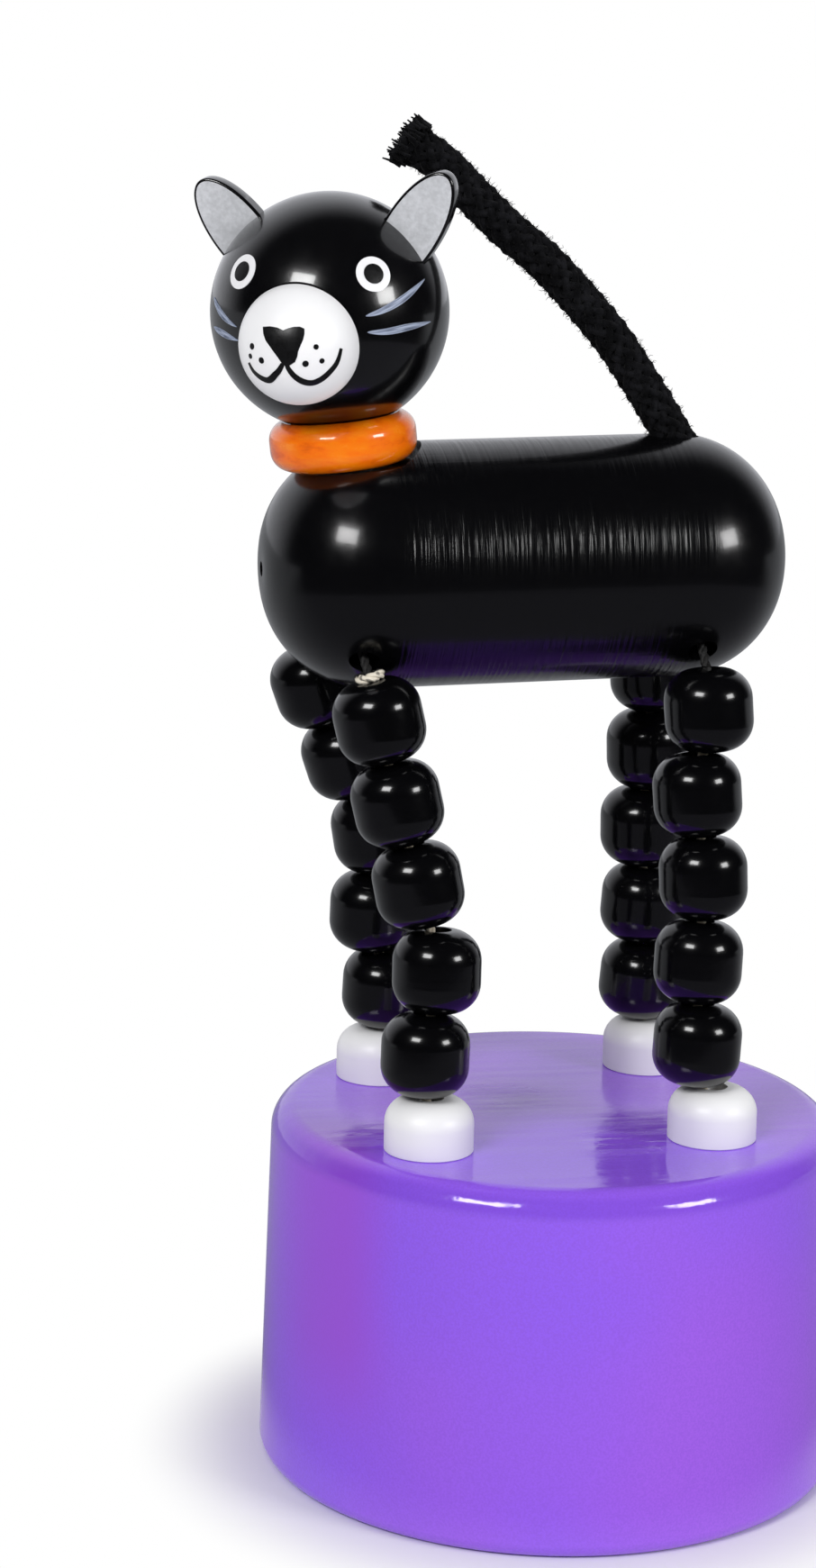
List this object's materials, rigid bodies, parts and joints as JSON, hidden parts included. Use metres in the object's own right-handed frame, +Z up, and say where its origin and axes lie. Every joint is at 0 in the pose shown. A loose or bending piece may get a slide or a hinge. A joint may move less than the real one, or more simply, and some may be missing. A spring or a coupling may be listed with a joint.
{
  "type": "push puppet",
  "caption": "Wooden push puppet: a beaded black cat strung over a purple drum, with a sprung button underneath that slackens the strings so that the legs buckle.",
  "frame": {"origin": "centre of the drum's foot, on the plane that the drum stands on", "axes": "+Z up along the drum's axis; the cat faces -X and its left side is -Y"},
  "size_m": [0.0586, 0.0514, 0.1183],
  "materials": {
    "purple_lacquer": "gloss lacquer",
    "bare_wood": "sanded",
    "spring_steel": "drawn wire",
    "cotton_string": "twisted",
    "white_lacquer": "satin lacquer",
    "black_lacquer": "gloss lacquer",
    "orange_lacquer": "gloss lacquer",
    "ear_felt": "matt paint",
    "tail_cotton": "braided"
  },
  "bodies": {
    "base": {"base_drum": "purple_lacquer", "foot_front_left": "white_lacquer", "foot_front_right": "white_lacquer", "foot_rear_left": "white_lacquer", "foot_rear_right": "white_lacquer", "return_spring": "spring_steel", "front_string": "cotton_string", "rear_string": "cotton_string"},
    "button": {"push_button": "bare_wood", "string_knots": "cotton_string"},
    "front_left_bead_1": {"front_left_bead_1": "black_lacquer"},
    "front_left_bead_2": {"front_left_bead_2": "black_lacquer"},
    "front_left_bead_3": {"front_left_bead_3": "black_lacquer"},
    "front_left_bead_4": {"front_left_bead_4": "black_lacquer"},
    "front_left_bead_5": {"front_left_bead_5": "black_lacquer"},
    "front_right_bead_1": {"front_right_bead_1": "black_lacquer"},
    "front_right_bead_2": {"front_right_bead_2": "black_lacquer"},
    "front_right_bead_3": {"front_right_bead_3": "black_lacquer"},
    "front_right_bead_4": {"front_right_bead_4": "black_lacquer"},
    "front_right_bead_5": {"front_right_bead_5": "black_lacquer"},
    "rear_left_bead_1": {"rear_left_bead_1": "black_lacquer"},
    "rear_left_bead_2": {"rear_left_bead_2": "black_lacquer"},
    "rear_left_bead_3": {"rear_left_bead_3": "black_lacquer"},
    "rear_left_bead_4": {"rear_left_bead_4": "black_lacquer"},
    "rear_left_bead_5": {"rear_left_bead_5": "black_lacquer"},
    "rear_right_bead_1": {"rear_right_bead_1": "black_lacquer"},
    "rear_right_bead_2": {"rear_right_bead_2": "black_lacquer"},
    "rear_right_bead_3": {"rear_right_bead_3": "black_lacquer"},
    "rear_right_bead_4": {"rear_right_bead_4": "black_lacquer"},
    "rear_right_bead_5": {"rear_right_bead_5": "black_lacquer"},
    "torso": {"torso": "black_lacquer", "tail_cord": "tail_cotton", "neck_string": "cotton_string"},
    "collar": {"collar": "orange_lacquer"},
    "head": {"head": "black_lacquer", "muzzle": "white_lacquer", "ear_left": "ear_felt", "ear_right": "ear_felt"}
  },
  "joints": [
    {"name": "button_push", "type": "slide", "parent": "base", "child": "button", "axis": [0, 0, 1], "range_m": [0, 0.009], "stiffness_N_per_m": 300, "springref_m": -0.006, "deforming": ["return_spring", "front_string", "rear_string"]},
    {"name": "front_left_bend_1", "type": "hinge", "parent": "base", "child": "front_left_bead_1", "pos_m": [-0.01291, -0.01081, 0.03908], "axis": [0, 1, 0], "range_deg": [0, 74.13]},
    {"name": "front_left_bend_2", "type": "hinge", "parent": "front_left_bead_1", "child": "front_left_bead_2", "pos_m": [-0.01437, -0.01043, 0.04635], "axis": [0, 1, 0], "range_deg": [-6.15, 0]},
    {"name": "front_left_bend_3", "type": "hinge", "parent": "front_left_bead_2", "child": "front_left_bead_3", "pos_m": [-0.01584, -0.01005, 0.05359], "axis": [0, 1, 0], "range_deg": [-58.68, 0]},
    {"name": "front_left_bend_4", "type": "hinge", "parent": "front_left_bead_3", "child": "front_left_bead_4", "pos_m": [-0.01766, -0.00968, 0.06058], "axis": [0, 1, 0], "range_deg": [-20.05, 0]},
    {"name": "front_left_bend_5", "type": "hinge", "parent": "front_left_bead_4", "child": "front_left_bead_5", "pos_m": [-0.01929, -0.00931, 0.0676], "axis": [0, 1, 0], "range_deg": [-15.94, 0]},
    {"name": "front_right_bend_1", "type": "hinge", "parent": "base", "child": "front_right_bead_1", "pos_m": [-0.01215, 0.01081, 0.03908], "axis": [0, 1, 0], "range_deg": [0, 74.13]},
    {"name": "front_right_bend_2", "type": "hinge", "parent": "front_right_bead_1", "child": "front_right_bead_2", "pos_m": [-0.01589, 0.01042, 0.04643], "axis": [0, 1, 0], "range_deg": [-6.15, 0]},
    {"name": "front_right_bend_3", "type": "hinge", "parent": "front_right_bead_2", "child": "front_right_bead_3", "pos_m": [-0.01569, 0.01005, 0.05364], "axis": [0, 1, 0], "range_deg": [-68.98, 0]},
    {"name": "front_right_bend_4", "type": "hinge", "parent": "front_right_bead_3", "child": "front_right_bead_4", "pos_m": [-0.01829, 0.00969, 0.0605], "axis": [0, 1, 0], "range_deg": [-9.24, 0]},
    {"name": "front_right_bend_5", "type": "hinge", "parent": "front_right_bead_4", "child": "front_right_bead_5", "pos_m": [-0.02121, 0.00934, 0.06712], "axis": [0, 1, 0], "range_deg": [-6.15, 0]},
    {"name": "rear_left_bend_1", "type": "hinge", "parent": "base", "child": "rear_left_bead_1", "pos_m": [0.01105, -0.01081, 0.03908], "axis": [0, 1, 0], "range_deg": [0, 78.77]},
    {"name": "rear_left_bend_2", "type": "hinge", "parent": "rear_left_bead_1", "child": "rear_left_bead_2", "pos_m": [0.00863, -0.01042, 0.04648], "axis": [0, 1, 0], "range_deg": [-19.54, 0]},
    {"name": "rear_left_bend_3", "type": "hinge", "parent": "rear_left_bead_2", "child": "rear_left_bead_3", "pos_m": [0.00901, -0.01004, 0.05368], "axis": [0, 1, 0], "range_deg": [-46.84, 0]},
    {"name": "rear_left_bend_4", "type": "hinge", "parent": "rear_left_bead_3", "child": "rear_left_bead_4", "pos_m": [0.00838, -0.00967, 0.06087], "axis": [0, 1, 0], "range_deg": [-20.57, 0]},
    {"name": "rear_left_bend_5", "type": "hinge", "parent": "rear_left_bead_4", "child": "rear_left_bead_5", "pos_m": [0.00924, -0.00928, 0.06816], "axis": [0, 1, 0], "range_deg": [-25.21, 0]},
    {"name": "torso_level", "type": "hinge", "parent": "rear_left_bead_1", "child": "torso", "pos_m": [0.00772, -0.01081, 0.05139], "axis": [0, 1, 0], "range_deg": [-78.77, 0]},
    {"name": "rear_right_bend_1", "type": "hinge", "parent": "base", "child": "rear_right_bead_1", "pos_m": [0.01197, 0.01081, 0.03908], "axis": [0, 1, 0], "range_deg": [0, 73.61]},
    {"name": "rear_right_bend_2", "type": "hinge", "parent": "rear_right_bead_1", "child": "rear_right_bead_2", "pos_m": [0.00939, 0.01042, 0.04649], "axis": [0, 1, 0], "range_deg": [-6.15, 0]},
    {"name": "rear_right_bend_3", "type": "hinge", "parent": "rear_right_bead_2", "child": "rear_right_bead_3", "pos_m": [0.00909, 0.01004, 0.05373], "axis": [0, 1, 0], "range_deg": [-59.71, 0]},
    {"name": "rear_right_bend_4", "type": "hinge", "parent": "rear_right_bead_3", "child": "rear_right_bead_4", "pos_m": [0.00937, 0.00966, 0.06095], "axis": [0, 1, 0], "range_deg": [-19.54, 0]},
    {"name": "rear_right_bend_5", "type": "hinge", "parent": "rear_right_bead_4", "child": "rear_right_bead_5", "pos_m": [0.00937, 0.00928, 0.06817], "axis": [0, 1, 0], "range_deg": [-13.36, 0]},
    {"name": "head_turn", "type": "hinge", "parent": "torso", "child": "collar", "pos_m": [-0.01981, 0, 0.08934], "axis": [-0.1219, 0, 0.9925], "range_deg": [-85, 20]},
    {"name": "head_nod", "type": "hinge", "parent": "collar", "child": "head", "pos_m": [-0.02141, 0, 0.10239], "axis": [0.891, -0.454, 0], "range_deg": [0, 15.42], "deforming": ["neck_string"]}
  ],
  "couplings": [
    {"joint": "front_left_bend_1", "follows": "button_push", "rad_per_m": 137.69},
    {"joint": "front_left_bend_2", "follows": "button_push", "rad_per_m": -9.6963},
    {"joint": "front_left_bend_3", "follows": "button_push", "rad_per_m": -108.6},
    {"joint": "front_left_bend_4", "follows": "button_push", "rad_per_m": -35.876},
    {"joint": "front_left_bend_5", "follows": "button_push", "rad_per_m": -28.119},
    {"joint": "front_right_bend_1", "follows": "button_push", "rad_per_m": 137.69},
    {"joint": "front_right_bend_2", "follows": "button_push", "rad_per_m": -9.6963},
    {"joint": "front_right_bend_3", "follows": "button_push", "rad_per_m": -127.99},
    {"joint": "front_right_bend_4", "follows": "button_push", "rad_per_m": -15.514},
    {"joint": "front_right_bend_5", "follows": "button_push", "rad_per_m": -9.6963},
    {"joint": "rear_left_bend_1", "follows": "button_push", "rad_per_m": 146.41},
    {"joint": "rear_left_bend_2", "follows": "button_push", "rad_per_m": -34.907},
    {"joint": "rear_left_bend_3", "follows": "button_push", "rad_per_m": -86.297},
    {"joint": "rear_left_bend_4", "follows": "button_push", "rad_per_m": -36.846},
    {"joint": "rear_left_bend_5", "follows": "button_push", "rad_per_m": -45.572},
    {"joint": "torso_level", "follows": "button_push", "rad_per_m": -146.41},
    {"joint": "rear_right_bend_1", "follows": "button_push", "rad_per_m": 136.72},
    {"joint": "rear_right_bend_2", "follows": "button_push", "rad_per_m": -9.6963},
    {"joint": "rear_right_bend_3", "follows": "button_push", "rad_per_m": -110.54},
    {"joint": "rear_right_bend_4", "follows": "button_push", "rad_per_m": -34.907},
    {"joint": "rear_right_bend_5", "follows": "button_push", "rad_per_m": -23.271},
    {"joint": "head_nod", "follows": "button_push", "rad_per_m": 27.15}
  ]
}
